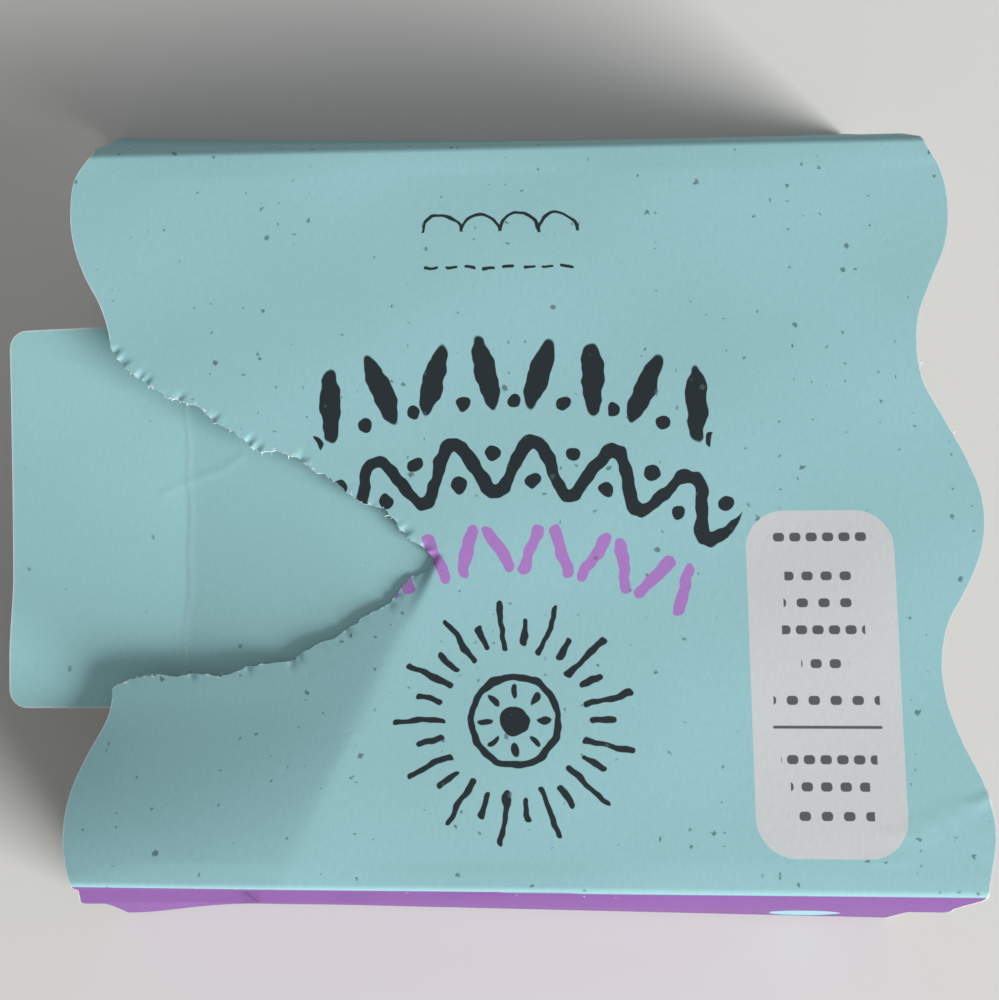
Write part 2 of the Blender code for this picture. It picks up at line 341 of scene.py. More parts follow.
# %% The line of the tear
TEAR = np.array([
    (-64.1, 26.2), (-63.4, 24.9), (-61.2, 22.5), (-59.5, 21.3), (-57.9, 20.2), (-55.9, 18.8),
    (-54.6, 17.7), (-53.4, 17.7), (-52.1, 17.0), (-50.1, 16.6), (-48.7, 15.4), (-47.7, 14.3),
    (-46.3, 13.3), (-44.5, 12.5), (-43.1, 11.5), (-41.1, 9.7), (-39.5, 8.9), (-37.5, 9.2),
    (-35.9, 8.6), (-34.3, 8.1), (-32.7, 7.0), (-31.6, 5.9), (-29.6, 5.2), (-28.0, 4.0),
    (-26.4, 2.6), (-24.8, 1.3), (-23.7, 0.5), (-21.7, 0.1), (-20.6, -0.2), (-19.7, -0.9),
    (-18.6, -2.2), (-17.8, -3.5), (-16.7, -4.6), (-16.1, -5.5), (-14.7, -6.2), (-13.4, -7.2),
    (-12.6, -8.3), (-12.7, -9.3), (-13.6, -10.3), (-15.0, -10.9), (-16.2, -11.3), (-17.2, -12.3),
    (-18.1, -13.5), (-18.9, -14.7), (-20.1, -15.6), (-21.7, -16.4), (-23.2, -17.0), (-24.0, -18.0),
    (-25.5, -18.8), (-26.3, -19.2), (-27.4, -20.1), (-28.6, -20.7), (-29.9, -20.9), (-31.0, -21.5),
    (-32.5, -22.2), (-33.6, -23.1), (-34.9, -24.0), (-36.4, -23.9), (-37.7, -24.1), (-41.2, -24.6),
    (-42.8, -25.0), (-44.3, -25.6), (-45.9, -26.1), (-49.2, -25.7), (-50.8, -25.4), (-52.4, -25.9),
    (-54.0, -26.0), (-55.7, -25.6), (-57.3, -25.8), (-60.6, -26.1), (-61.9, -26.7), (-63.5, -27.2),
    (-64.0, -27.9),
]) / 1000
TIP = 36
TEAR_TIP = TEAR[TIP]
TOOTH_PITCH = 0.0024
TOOTH_HEIGHT = 0.00022
TOOTH_STEEP = 0.00045
TOOTH_SLOW = 0.0013
FRAY_HEIGHT = 0.00005
FRAY_STEP = 0.0004
CALM_AT_ENDS = 0.002
WALK_STEP = 0.0001
chance = np.random.default_rng(11)


def path_lengths(points):
    """Distance walked along a line of points, from its first point."""
    steps = np.linalg.norm(np.diff(points, axis=0), axis=1)
    return np.concatenate([[0.0], np.cumsum(steps)])


def resample(points, step):
    """The same line with points one step apart, and the distance walked at each."""
    walked = path_lengths(points)
    places = np.linspace(0.0, walked[-1], int(walked[-1] / step) + 1)
    return np.stack([np.interp(places, walked, column) for column in points.T], -1), places


tear_line, tear_walk = resample(TEAR, WALK_STEP)
tip_walk = path_lengths(TEAR)[TIP]
tooth_places = np.cumsum(TOOTH_PITCH * chance.uniform(0.4, 1.6, 80))
tooth_places = tooth_places[tooth_places < tear_walk[-1] - TOOTH_PITCH]
tooth_heights = TOOTH_HEIGHT * chance.uniform(0.0, 1.6, len(tooth_places))
print(len(tooth_places), "teeth on", round(1000 * tear_walk[-1], 1), "mm of tear")


# %% Teeth
def tooth_row(walk):
    """How far the edge stands out at a walked distance: a saw of uneven teeth, with fine fray."""
    before_tip = tooth_places < tip_walk
    rise = np.where(before_tip, TOOTH_STEEP, TOOTH_SLOW)
    fall = np.where(before_tip, TOOTH_SLOW, TOOTH_STEEP)
    knots = np.stack([tooth_places - rise, tooth_places, tooth_places + fall], -1)
    heights = np.stack([0 * tooth_heights, tooth_heights, 0 * tooth_heights], -1)
    order = np.argsort(knots.ravel())
    saw = np.interp(walk, knots.ravel()[order], heights.ravel()[order])
    fray_places = np.arange(0.0, walk[-1] + FRAY_STEP, FRAY_STEP)
    fray = np.interp(walk, fray_places, chance.normal(0.0, FRAY_HEIGHT, len(fray_places)))
    ends = smoothstep(walk / CALM_AT_ENDS) * smoothstep((walk[-1] - walk) / CALM_AT_ENDS)
    return (saw + fray) * ends


def smooth_line(values, width):
    """Each value replaced by the mean of its neighbours within the width."""
    kernel = np.ones(2 * width + 1) / (2 * width + 1)
    padded = np.pad(values, ((width, width), (0, 0)), mode="edge")
    return np.stack([np.convolve(column, kernel, "valid") for column in padded.T], -1)


SOFTEN, SOFTEN_WAY = 6, 12
tear_soft = smooth_line(tear_line, SOFTEN)
tear_soft[0], tear_soft[-1] = tear_line[0], tear_line[-1]
along = np.gradient(smooth_line(tear_line, SOFTEN_WAY), axis=0)
along /= np.linalg.norm(along, axis=1, keepdims=True)
into_hole = np.stack([along[:, 1], -along[:, 0]], -1)
torn_edge = tear_soft + tooth_row(tear_walk)[:, None] * into_hole
print("torn edge spans in mm:", (1000 * np.ptp(torn_edge, axis=0)).round(1))

# %% [markdown]
# ## Rows and columns of the sleeve's mesh
#
# The mesh has to be fine at the torn edge and may be coarse far from it.  A
# row starts at one point of the left end and runs to the right end.  Rows
# leave the tear nearly squarely and then turn level, as combed hair does
# round a notch, which keeps the quads beside the teeth well shaped.  Along a
# row the columns stand closer at the torn edge and at the line where the torn
# corner bends, because a sharp bend needs small faces.

# %% The left end and the rows that leave it
EDGE_STEP = 0.00026
WAVE_STEP = 0.0011
COMB = ((19, 0.0065), (28, 0.0050), (TIP, -0.0003), (43, -0.0050), (55, -0.0080), (62, -0.0090))
COMB_START, COMB_END = 0.0075, -0.0115
COMB_FADE = 0.0075
COMB_EASE = 12
flat_half = TOP_DEPTH / 2 - FOLD_RADII[0]


def levelled(x, y):
    """The place from back to front on a top whose front fold is square: undoes the fold's slant."""
    slide = FRONT_SLANT * x
    return (y + slide / 2) / (1.0 + slide / (2 * flat_half))


def slanted(x, level):
    """The true y of a levelled place."""
    return level - FRONT_SLANT * x * (flat_half - level) / (2 * flat_half)


def wave_edge(y_from, y_to):
    """Points of the left wavy end between two places."""
    y = np.linspace(y_from, y_to, max(int(abs(y_from - y_to) / WAVE_STEP), 2))
    return np.stack([-wave(y, LEFT_WAVE), y], -1)


upper_wave = wave_edge(flat_half, torn_edge[0, 1])[:-1]
lower_wave = wave_edge(torn_edge[-1, 1], slanted(-wave(-flat_half, LEFT_WAVE), -flat_half))[1:]
edge_stride = round(EDGE_STEP / WALK_STEP)
torn_part = torn_edge[::edge_stride]
left_end = np.concatenate([upper_wave, torn_part, lower_wave])
is_torn_row = np.zeros(len(left_end), bool)
is_torn_row[len(upper_wave):-len(lower_wave)] = True
left_level = levelled(*left_end.T)
walk_share = path_lengths(TEAR) / tear_walk[-1]
comb_rows = [0, len(upper_wave)]
comb_levels = [flat_half, TEAR[0, 1] + COMB_START]
for corner, shift in COMB:
    comb_rows.append(len(upper_wave) + walk_share[corner] * (len(torn_part) - 1))
    comb_levels.append(TEAR[corner, 1] + shift)
comb_rows += [len(upper_wave) + len(torn_part) - 1, len(left_end) - 1]
comb_levels += [TEAR[-1, 1] + COMB_END, -flat_half]
right_level = np.interp(np.arange(len(left_end)), comb_rows, comb_levels)
right_level = smooth_line(right_level[:, None], COMB_EASE)[:, 0]
right_level[0], right_level[-1] = flat_half, -flat_half
print(len(left_end), "rows on the top panel; narrowest gap at the right in mm:",
      (-1000 * np.diff(right_level)).min().round(3))


# %% Columns
NEAR_COLUMNS = 24
MIDDLE_COLUMNS = 44
NEAR_STEP = 0.00030
NEAR_GROWTH = 1.10
FAR_STEPS = np.array([0.0030, 0.0018, 0.0010, 0.0005, 0.0002, 0.0])
BEND_TIP = (-0.0125, -0.0088)
WING_LINE_SLOPE = 0.48
BEND_CROWD, BEND_BELL = 6.0, 0.003
BEND_SAMPLES = 400


def bend_line(y):
    """X of the line that the torn corner bends at, carried on straight to both folds."""
    place = np.clip(y, -TOP_DEPTH / 2, TOP_DEPTH / 2)
    return BEND_TIP[0] + WING_LINE_SLOPE * (place - BEND_TIP[1])


def columns_between(left, right, y):
    """X of every column: steps that grow from the left end, then the middle, then shrinking steps.
    The middle's density is even, plus a bell round the line that the torn corner bends at."""
    near = NEAR_STEP * (NEAR_GROWTH ** np.arange(NEAR_COLUMNS) - 1) / (NEAR_GROWTH - 1)
    share = np.linspace(0.0, 1.0, MIDDLE_COLUMNS + 2)[1:-1]
    start, stop = left + near[-1], right - FAR_STEPS[0]
    middle = []
    for row_start, row_stop, line in zip(start, stop, bend_line(y)):
        x = np.linspace(row_start, row_stop, BEND_SAMPLES)
        crowd = np.cumsum(1.0 + BEND_CROWD * np.exp(-((x - line) / BEND_BELL) ** 2))
        middle.append(np.interp(share, (crowd - crowd[0]) / (crowd[-1] - crowd[0]), x))
    return np.concatenate([left[:, None] + near, middle, right[:, None] - FAR_STEPS], 1)


right_end = wave(slanted(END_MEAN, right_level), RIGHT_WAVE)
top_x = columns_between(left_end[:, 0], right_end, right_level)
fade = np.exp(-(top_x - top_x[:, :1]) / COMB_FADE)
top_level = right_level[:, None] + (left_level - right_level)[:, None] * fade
top_y = slanted(top_x, top_level)
narrowest = 1000 * np.diff(top_x, axis=1).min()
print(top_x.shape[1], "columns, the narrowest", narrowest.round(2), "mm")

# %% [markdown]
# ## How the top is bent
#
# Where the tongue was pulled out, the card lost its hold.  The corner in
# front of the tear hangs down from a line that runs from the tip of the tear
# to the front fold, the tip itself has a small sharp dip, each bridge of the
# tear line has a dent, and a wrinkle crosses the front right corner.  Each of
# these is a height that is added to the plane.  The corner hangs up to 2 mm
# lower here than in the CAD model.

# %% Heights added to the top plane
WING_DROP = 0.0084
WING_REACH = 0.050
WING_CURVE = 1.08
WING_HOLD = 0.030
WING_AT_FOLD = 0.25
WING_SOFT = 0.0010
WING_SOFT_WITHIN = 0.006
DENT_DEPTH = 0.00032
DENT_WIDTH = 0.0005
DENT_REACH = 0.0009
DENT_STRIDE = 4
DENT_KINDS = [0.0, 0.0, 0.2, 1.2]
DENT_SHARE_IN_FRONT = 0.7
TIP_DIP = 0.0007
TIP_DIP_REACH = 0.0018
TIP_DIP_FADE = 0.0065
TIP_DIP_EDGE = 0.0012
WRINKLE = np.array([(54.9, -54.8), (59.0, -50.2), (70.5, -45.3)]) / 1000
WRINKLE_HEIGHT = 0.00016
WRINKLE_WIDTH = 0.0007
WRINKLE_STEP = 0.0004
LONG_WAVE, CROSS_WAVE = 0.00012, 0.00008
CALM_AT_FOLD = 0.004


def wing_droop(x, y):
    """Droop of the torn corner: the distance past the bend line to a power, less near the fold.
    The distance starts softly: half of itself plus half the root of its square and a small one."""
    past = bend_line(y) - x
    soft = WING_SOFT * smoothstep((BEND_TIP[1] - y) / WING_SOFT_WITHIN)
    reach = (past + np.sqrt(past ** 2 + soft ** 2)) / (2 * WING_REACH)
    held = WING_AT_FOLD + (1.0 - WING_AT_FOLD) * smoothstep((y + TOP_DEPTH / 2) / WING_HOLD)
    return np.where(y < BEND_TIP[1], WING_DROP * reach ** WING_CURVE * held, 0.0)


def nearest_on(line, x, y):
    """Distance to the nearest of a line's points, and the number of that point."""
    distance = np.full(x.shape, np.inf)
    number = np.zeros(x.shape, int)
    for index, (line_x, line_y) in enumerate(line):
        here = np.hypot(x - line_x, y - line_y)
        closer = here < distance
        distance, number = np.where(closer, here, distance), np.where(closer, index, number)
    return distance, number


def wrinkle_bell(line, height, width, x, y):
    """Height of a wrinkle along a line: a bell of the distance to the line."""
    distance, _ = nearest_on(resample(line, WRINKLE_STEP)[0], x, y)
    return height * np.exp(-(distance / width) ** 2)


dent_places = tooth_places + TOOTH_PITCH * chance.uniform(-0.35, -0.15, len(tooth_places))
dent_depths = DENT_DEPTH * chance.choice(DENT_KINDS, len(tooth_places))
dent_depths *= np.where(dent_places < tip_walk, 1.0, DENT_SHARE_IN_FRONT)
bumps = np.exp(-((tear_walk[:, None] - dent_places) / DENT_WIDTH) ** 2)
dent_profile = (bumps * dent_depths).sum(1)[::DENT_STRIDE]
tear_distance, tear_number = nearest_on(torn_edge[::DENT_STRIDE], top_x, top_y)


def top_detail(x, y):
    """Heights of the dents, the dip at the tip, the wrinkle and a slow wave, calm at the folds."""
    dents = -dent_profile[tear_number] * np.exp(-(tear_distance / DENT_REACH) ** 2)
    line_x = TEAR_TIP[0] + WING_LINE_SLOPE * (y - TEAR_TIP[1])
    past = smoothstep((line_x + TIP_DIP_EDGE - x) / TIP_DIP_REACH)
    from_tip = np.hypot(x - TEAR_TIP[0], y - TEAR_TIP[1])
    below = smoothstep((TEAR_TIP[1] + TIP_DIP_EDGE - y) / TIP_DIP_EDGE)
    dip = -TIP_DIP * past * below * np.exp(-(from_tip / TIP_DIP_FADE) ** 2)
    wrinkle = wrinkle_bell(WRINKLE, WRINKLE_HEIGHT, WRINKLE_WIDTH, x, y)
    slow = LONG_WAVE * np.cos(90 * x + 55 * y + 1.0) + CROSS_WAVE * np.cos(160 * y - 70 * x)
    calm = smoothstep((flat_half - np.abs(y)) / CALM_AT_FOLD)
    return dents + (dip + wrinkle + slow) * calm


top_z = top_plane(top_x, top_y) + top_detail(top_x, top_y)
print("top detail in mm:", (1000 * top_detail(top_x, top_y)).min().round(2), "deep")

# %% [markdown]
# ## Walls, base and folds
#
# The other sides are straight lines between the corners of the section, and
# a fold is a short curve that leaves one side and joins the next, drawn from
# the end of one to the start of the other with the corner as its handle.

# %% The rest of the section
FRONT_BOW, BACK_BOW, BOW_CURVE = 0.0016, 0.0005, 4.0
FOLD_ROWS = 7
WALL_ROWS = 26
BASE_ROWS = 16
MEASURED_COLUMN = NEAR_COLUMNS + 8


def unit(vectors):
    """Each vector divided by its length."""
    return vectors / np.linalg.norm(vectors, axis=-1, keepdims=True)


def section_row(x, corner, share, is_fold):
    """(y, z) on the fold at a corner, or on the side that follows it, at a share of its way."""
    corners = section_corners(x)
    here, ahead, behind = (corners[..., (corner + step) % 4, :] for step in (0, 1, -1))
    radius, next_radius = FOLD_RADII[corner], FOLD_RADII[(corner + 1) % 4]
    share = share[:, None, None]
    start = here + radius * unit(ahead - here)
    if not is_fold:
        return start + share * (ahead - next_radius * unit(ahead - here) - start)
    before = here + radius * unit(behind - here)
    return before * (1 - share) ** 2 + here * 2 * share * (1 - share) + start * share ** 2


def end_of(y, z, side):
    """X of the left (0) or right (1) end: the wave at the fold, soon below it a straight line."""
    sign, profile = (-1, LEFT_WAVE) if side == 0 else (1, RIGHT_WAVE)
    mean, half = sign * END_MEAN, TOP_DEPTH / 2
    near = np.clip(y, -half - FRONT_SLANT * mean, half)
    down = np.clip(1.0 - z / top_plane(mean, near), 0.0, 1.0)
    front, back = (
        lines[0][side] + (lines[1][side] - lines[0][side]) * down
        for lines in (FRONT_WALL_ENDS, BACK_WALL_ENDS)
    )
    straight = front + (back - front) * np.clip((y + half) / TOP_DEPTH, 0.0, 1.0)
    wavy = sign * wave(near, profile)
    return wavy + (straight - wavy) * smoothstep(down / END_TURN)


def block(corner, is_fold, rows):
    """X, y and z of one fold or one side, from its left to its right end."""
    share = np.arange(rows) / rows
    ends = []
    for side, mean in ((0, -END_MEAN), (1, END_MEAN)):
        at_end = section_row(np.full((rows, 1), mean), corner, share, is_fold)[:, 0]
        ends.append(end_of(at_end[:, 0], at_end[:, 1], side))
    x = columns_between(*ends, at_end[:, 0])
    yz = section_row(x, corner, share, is_fold)
    return np.stack([x, yz[..., 0], yz[..., 1]], -1)


def bend(points):
    """The wing's droop, shared down its wall, and the outward bow of the walls."""
    x, y, z = np.moveaxis(points, -1, 0)
    share_up = np.clip(z / top_plane(x, y), 0.0, 1.0)
    droop = wing_droop(x, np.maximum(y, -TOP_DEPTH / 2)) * share_up
    bow = np.where(y > 0, BACK_BOW, -FRONT_BOW) * np.sin(pi * share_up ** BOW_CURVE)
    return np.stack([x, np.where(np.abs(y) > TOP_DEPTH / 2, y + bow, y), z - droop], -1)


top_block = np.stack([top_x, top_y, top_z], -1)
blocks = [block(0, True, FOLD_ROWS), top_block[:-1]]
for corner, side_rows in ((1, WALL_ROWS), (2, BASE_ROWS), (3, WALL_ROWS)):
    blocks += [block(corner, True, FOLD_ROWS), block(corner, False, side_rows)]
outer = bend(np.concatenate(blocks))
first_top, first_fold = FOLD_ROWS, FOLD_ROWS + len(top_block) - 1
print("sleeve grid:", outer.shape[:2], "outer points")


# %% The inner skin
def tube_normals(points):
    """Unit normals of a closed grid: the step to the next row crossed with that to the next column."""
    down = np.roll(points, -1, axis=0) - np.roll(points, 1, axis=0)
    return unit(np.cross(down, np.gradient(points, axis=1)))


inner = outer - BOARD * tube_normals(outer)
inner[first_top:first_fold] = outer[first_top:first_fold] - np.array([0.0, 0.0, BOARD])
steps = np.linalg.norm(np.diff(np.concatenate([outer, outer[:1]]), axis=0), axis=-1)
walked = np.concatenate([[0.0], np.cumsum(steps[:, MEASURED_COLUMN])])
row_number = np.arange(len(walked))
girth = np.where(row_number < first_top, flat_half + walked[first_top] - walked, 0.0)
girth = np.where(row_number >= first_fold, -flat_half - (walked - walked[first_fold]), girth)
girth = np.repeat(girth[:, None], outer.shape[1], 1)
girth[first_top:first_fold] = top_level[:-1]
print("card is", round(1000 * float(walked[-1])), "mm round")

# %% [markdown]
# ## From two skins to a sheet of card
#
# Card has a thickness, and its cut edge shows as a pale line, so each piece
# is a closed body: an upper skin, a lower skin a board's thickness away and a
# rim between them.  The rim and the lower skin get materials of their own,
# because only the upper skin is printed.  Every corner also keeps its place
# on the flat sheet in a UV map, in millimetres, so that print, specks and
# grain go round the folds as ink on the real card does.


# %% One closed sheet of card
def sheet_corners(rows, columns, closed):
    """(skin, row, column) of the four corners of every face, and each face's material number."""
    row, column = np.arange(rows if closed else rows - 1), np.arange(columns - 1)
    r, c = (part.ravel() for part in np.meshgrid(row, column, indexing="ij"))
    upper = [(0, r, c), (0, r + 1, c), (0, r + 1, c + 1), (0, r, c + 1)]
    lower = [(1, r, c), (1, r, c + 1), (1, r + 1, c + 1), (1, r + 1, c)]
    last = columns - 1
    left_rim = [(0, row, 0), (1, row, 0), (1, row + 1, 0), (0, row + 1, 0)]
    right_rim = [(0, row, last), (0, row + 1, last), (1, row + 1, last), (1, row, last)]
    parts, numbers = [upper, lower, left_rim, right_rim], [0, 1, 2, 2]
    if not closed:
        end = rows - 1
        parts.append([(0, 0, column), (0, 0, column + 1), (1, 0, column + 1), (1, 0, column)])
        parts.append([(0, end, column), (1, end, column), (1, end, column + 1), (0, end, column + 1)])
        numbers += [2, 2]
    faces = []
    for part in parts:
        faces.append(np.stack([np.stack(np.broadcast_arrays(*corner), -1) for corner in part], 1))
    material = np.repeat(numbers, [len(part) for part in faces])
    return np.concatenate(faces), material


def mesh_object(name, vertices, faces):
    """A mesh object with smooth faces, at the world's origin."""
    mesh = bpy.data.meshes.new(name)
    mesh.from_pydata(vertices.reshape(-1, 3), [], faces)
    mesh.polygons.foreach_set("use_smooth", np.ones(len(mesh.polygons), bool))
    piece = bpy.data.objects.new(name, mesh)
    bpy.context.scene.collection.objects.link(piece)
    return piece


def card_piece(name, upper, lower, flat, marks, closed):
    """A closed sheet: two skins of grid points, the flat place (u, v) of each row and column, and
    marks, the named numbers of each grid point that its finish reads."""
    rows, columns = upper.shape[:2]
    corners, material = sheet_corners(rows, columns, closed)
    skin, row, column = np.moveaxis(corners, -1, 0)
    vertex = (skin * rows + row % rows) * columns + column
    both = np.concatenate([upper.reshape(-1, 3), lower.reshape(-1, 3)]) + MIDDLE
    piece = mesh_object(name, both, vertex.tolist())
    mesh = piece.data
    mesh.polygons.foreach_set("material_index", material.astype(np.int32))
    places = 1000 * flat[row, column].reshape(-1, 2)
    mesh.uv_layers.new(name="flat_card").uv.foreach_set("vector", places.astype(np.float32).ravel())
    for mark, values in marks.items():
        attribute = mesh.attributes.new(mark, "FLOAT", "POINT")
        attribute.data.foreach_set("value", np.tile(values.ravel(), 2).astype(np.float32))
    mesh.set_sharp_from_angle(angle=radians(50))
    print(name, "has", 2 * len(vertex), "triangles")
    return piece


# %% The sleeve
# Narrows the painted highlight along the left cut end.
LEFT_HIGHLIGHT_NARROWING = 0.00016
FAR_AWAY = 1.0
x_rows = np.concatenate([outer[..., 0], outer[:1, :, 0]])
flat_sleeve = np.stack([x_rows, girth], -1)
from_right = outer[:, -1:, 0] - outer[..., 0]
from_left = outer[..., 0] - outer[:, :1, 0]
torn_rows = np.zeros((len(outer), 1), bool)
torn_rows[first_top:first_fold, 0] = is_torn_row[:-1]
cut_distance = np.where(torn_rows, FAR_AWAY, from_left + LEFT_HIGHLIGHT_NARROWING)
cut_distance = np.minimum(from_right, cut_distance)
torn_distance = np.full(outer.shape[:2], FAR_AWAY)
torn_distance[first_top:first_fold] = tear_distance[:-1]
sleeve_marks = {"torn": 1000 * torn_distance, "cut": 1000 * cut_distance}
sleeve = card_piece("sleeve_card", outer, inner, flat_sleeve, sleeve_marks, closed=True)

# %% [markdown]
# ## The strip and its flap
#
# Under the tear a strip of the same card is glued to the top from below.  It
# sags away from it to a crease, and past the crease its flap stands open.
# It is one sheet, so it is one piece here.  Its free corners are rounded:
# near each corner the rows of the mesh end earlier, along a quarter circle.
# Card that was bent never lies quite flat again, so a gentle twist is added
# to the sheet.

# %% Strip and flap as one sheet
CREASE_RIDGE = 0.00005
CREASE_WIDTH = 0.0004
CREASE_WANDER, WANDER_TURNS, WANDER_PLACE = 0.0005, 95, 0.004
CREASE_SHAKE, SHAKE_TURNS = 0.00015, 520
FAINT_WRINKLE = np.array([(-56.4, 3.7), (-53.5, 4.9), (-50.6, 5.8), (-46.4, 7.2), (-43.6, 9.0)]) / 1000
FAINT_HEIGHT = 0.00005
FAINT_WIDTH = 0.0005
TWIST_ALONG = np.array([0.82, -0.57])
TWIST_MIDDLE = np.array([-0.040, 0.0])
TWIST = 1.8
TWIST_FROM = 0.009
TWIST_TURN, TWIST_END = -0.031, -0.043
TWIST_RIGHT, TWIST_FADE = -0.007, 0.020
STRIP_ROWS = 170
STRIP_COLUMNS = 260


def strip_height(x, y):
    """Upper face: the top's plane from below, less a sag that is a power of the way to the crease."""
    reach = np.clip((SAG_START - x) / (SAG_START - CREASE_X), 0.0, 1.0)
    sag = CREASE_SAG * reach ** SAG_CURVE - SAG_TO_FRONT * y * reach
    return top_plane(x, y) - BOARD - GAP - np.maximum(sag, 0.0)


def sheet_height(x, y):
    """The strip's height, and past the crease a plane that falls to the flap's free end."""
    at_crease = strip_height(CREASE_X, y)
    return np.where(x > CREASE_X, strip_height(x, y), at_crease + FLAP_FALL * (x - CREASE_X))


def sheet_twist(x, y):
    """A gentle twist: a slope along a slanting line, which grows with the distance in front of
    it and dies away before the front left corner and where the strip is glued to the top."""
    along_x, along_y = TWIST_ALONG
    from_x, from_y = x - TWIST_MIDDLE[0], y - TWIST_MIDDLE[1]
    along, beside = from_x * along_x + from_y * along_y, from_y * along_x - from_x * along_y
    kept = smoothstep((beside - TWIST_END) / (TWIST_TURN - TWIST_END))
    kept = kept * smoothstep((TWIST_RIGHT - x) / TWIST_FADE)
    return TWIST * np.clip(TWIST_FROM - beside, 0.0, None) * kept * along


def crease_line(y):
    """X of the crease's raised line: a slow wave that wanders and a quick one that shakes."""
    wander = CREASE_WANDER * np.cos(WANDER_TURNS * (y + WANDER_PLACE))
    return CREASE_X + wander + CREASE_SHAKE * np.cos(SHAKE_TURNS * y)


def sheet_detail(x, y):
    """The twist, the crease's raised line and a faint wrinkle beside it."""
    ridge = CREASE_RIDGE * np.exp(-((x - crease_line(y)) / CREASE_WIDTH) ** 2)
    wrinkle = wrinkle_bell(FAINT_WRINKLE, FAINT_HEIGHT, FAINT_WIDTH, x, y)
    return sheet_twist(x, y) + ridge + wrinkle


across = STRIP_MID_Y + STRIP_HALF * np.sin(np.linspace(pi / 2, -pi / 2, STRIP_ROWS))
to_side = np.clip(np.abs(across - STRIP_MID_Y) - STRIP_HALF + FLAP_CORNER, 0.0, FLAP_CORNER)
round_off = FLAP_CORNER - np.sqrt(FLAP_CORNER ** 2 - to_side ** 2)
strip_start = CREASE_X - FLAP_LENGTH - FLAP_SKEW * (across - STRIP_MID_Y) + round_off
lanes = np.linspace(0.0, 1.0, STRIP_COLUMNS)
sheet_x = strip_start[:, None] + (STRIP_RIGHT - strip_start)[:, None] * lanes
sheet_y = across[:, None] + FLAP_ASKEW * np.clip(CREASE_X - sheet_x, 0.0, None)
sheet_z = sheet_height(sheet_x, sheet_y) + sheet_detail(sheet_x, sheet_y)
sheet_upper = np.stack([sheet_x, sheet_y, sheet_z], -1)
sheet_lower = sheet_upper - np.array([0.0, 0.0, BOARD])
from_side = STRIP_HALF - np.abs(across[:, None] - STRIP_MID_Y)
sheet_cut = np.minimum(sheet_x - strip_start[:, None], from_side)
sheet_marks = {"cut": 1000 * sheet_cut, "crease": 1000 * (sheet_x - crease_line(sheet_y))}
strip = card_piece(
    "strip_and_flap", sheet_upper, sheet_lower, sheet_upper[..., :2], sheet_marks, closed=False,
)

# %% [markdown]
# ## Torn fibres
#
# Card is pressed fibre, and where it is torn some fibres and slivers of its
# white core stand out of the edge.  They are made as one joined mesh of small
# tapered bars with a flat three-cornered section, each bent a little, so the
# edge has a true outline.  A few larger ones sit where the cut ends are
# bruised: on the right end and at the two right corners of the base.

# %% Slivers
SLIVERS = 150
SLIVER_STATIONS = 5
SLIVER_LENGTH = (0.00010, 0.00045)
SLIVER_WIDTH = (0.00004, 0.00013)
SLIVER_ROOT = 0.00008


def slivers(roots, ways, sides, lengths, widths, curls):
    """Tapered bars: a root, a way out and a curl that grows as the square of the distance."""
    t = np.linspace(0.0, 1.0, SLIVER_STATIONS)[None, :, None]
    reach = lengths[:, None, None] * t
    spine = roots[:, None] + ways[:, None] * reach + curls[:, None] * reach * t
    half = widths[:, None, None] * (1.0 - 0.85 * t ** 1.3)
    lift = np.cross(ways, sides)[:, None]
    section = (sides[:, None] * half, -sides[:, None] * half, 0.6 * lift * half)
    points = np.stack([spine + offset for offset in section], 2)
    count = len(roots)
    bar, station, side = np.meshgrid(
        np.arange(count), np.arange(SLIVER_STATIONS - 1), np.arange(3), indexing="ij",
    )
    number = (bar * SLIVER_STATIONS + station) * 3
    after = (side + 1) % 3
    quads = np.stack([number + side, number + after, number + after + 3, number + side + 3], -1)
    ends = 3 * SLIVER_STATIONS * np.arange(count)[:, None]
    caps = [ends + np.array([2, 1, 0]), ends + 3 * (SLIVER_STATIONS - 1) + np.array([0, 1, 2])]
    faces = quads.reshape(-1, 4).tolist() + np.concatenate(caps).tolist()
    return points.reshape(-1, 3) + MIDDLE, faces


torn_numbers = np.flatnonzero(is_torn_row)
picked = np.sort(chance.choice(len(torn_numbers), SLIVERS))
picked = np.clip(picked, 2, len(torn_numbers) - 3)
depth = chance.uniform(0.05, 0.8, SLIVERS)[:, None] * np.array([0.0, 0.0, -BOARD])
roots = outer[first_top + torn_numbers[picked], 0] + depth
edge_normals = np.stack([*into_hole[::edge_stride][picked].T, 0 * picked], -1)
roots -= SLIVER_ROOT * edge_normals
lean = chance.normal(0.0, 0.55, SLIVERS)
edge_tangents = np.cross(edge_normals, [0.0, 0.0, 1.0])
tilt = chance.normal(0.05, 0.22, SLIVERS)[:, None] * np.array([0.0, 0.0, 1.0])
ways = unit(edge_normals + lean[:, None] * edge_tangents + tilt)
sides = unit(np.cross(ways, [0.0, 0.0, 1.0]))
curls = chance.normal(0.0, 0.5, (SLIVERS, 3)) * np.array([1.0, 1.0, 0.5])
lengths = chance.uniform(*SLIVER_LENGTH, SLIVERS) * chance.choice([0.6, 1.0, 1.5], SLIVERS)
widths = chance.uniform(*SLIVER_WIDTH, SLIVERS)

